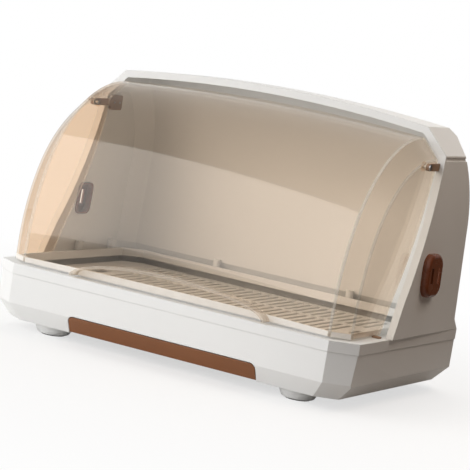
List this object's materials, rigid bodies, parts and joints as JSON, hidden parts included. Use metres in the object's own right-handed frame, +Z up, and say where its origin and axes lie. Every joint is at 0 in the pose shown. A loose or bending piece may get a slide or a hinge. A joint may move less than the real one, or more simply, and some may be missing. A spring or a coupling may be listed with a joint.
{
  "type": "covered cup drying rack",
  "caption": "White worktop cup rack: a tinted curved cover swings up over a slotted rack, and a brown-fronted drip tray slides out of the base below.",
  "frame": {"origin": "centre of the footprint, on the surface that the rack stands on", "axes": "+Z up, the cover and the drawer face -Y, +X to the right as seen from the front"},
  "size_m": [0.4714, 0.3, 0.313],
  "materials": {
    "white_plastic": "satin",
    "brown_plastic": "satin",
    "dark_brown_plastic": "satin",
    "tinted_cover": "clear tinted",
    "washer_plastic": "satin",
    "rubber_pad": "matt",
    "steel": "plain"
  },
  "bodies": {
    "housing": {"base_tub": "white_plastic", "hood_shell": "white_plastic", "bottom_plate": "white_plastic", "vent_left": "dark_brown_plastic", "vent_right": "dark_brown_plastic", "hinge_arm_left": "dark_brown_plastic", "hinge_arm_right": "dark_brown_plastic", "hinge_pin_left": "steel", "hinge_pin_right": "steel", "hinge_washer_left": "washer_plastic", "hinge_washer_right": "washer_plastic", "cover_bumper_left": "rubber_pad", "cover_bumper_right": "rubber_pad", "foot_screws": "steel", "plate_screws": "steel", "hood_screws": "steel", "hinge_screws": "steel", "foot_front_left": "white_plastic", "foot_pad_front_left": "rubber_pad", "foot_front_right": "white_plastic", "foot_pad_front_right": "rubber_pad", "foot_rear_left": "white_plastic", "foot_pad_rear_left": "rubber_pad", "foot_rear_right": "white_plastic", "foot_pad_rear_right": "rubber_pad"},
    "cover": {"clear_cover": "tinted_cover", "cover_handle": "tinted_cover"},
    "drawer": {"drip_tray": "white_plastic", "drip_tray_front": "brown_plastic"},
    "rack": {"drain_rack": "white_plastic"}
  },
  "joints": [
    {"name": "cover_hinge", "type": "hinge", "parent": "housing", "child": "cover", "pos_m": [0, -0.002, 0.2595], "axis": [-1, 0, 0], "range_deg": [0, 95]},
    {"name": "drawer_slide", "type": "slide", "parent": "housing", "child": "drawer", "axis": [0, -1, 0], "range_m": [0, 0.2]},
    {"name": "rack_lift", "type": "slide", "parent": "housing", "child": "rack", "axis": [0, 0, 1], "range_m": [0, 0.03]}
  ]
}
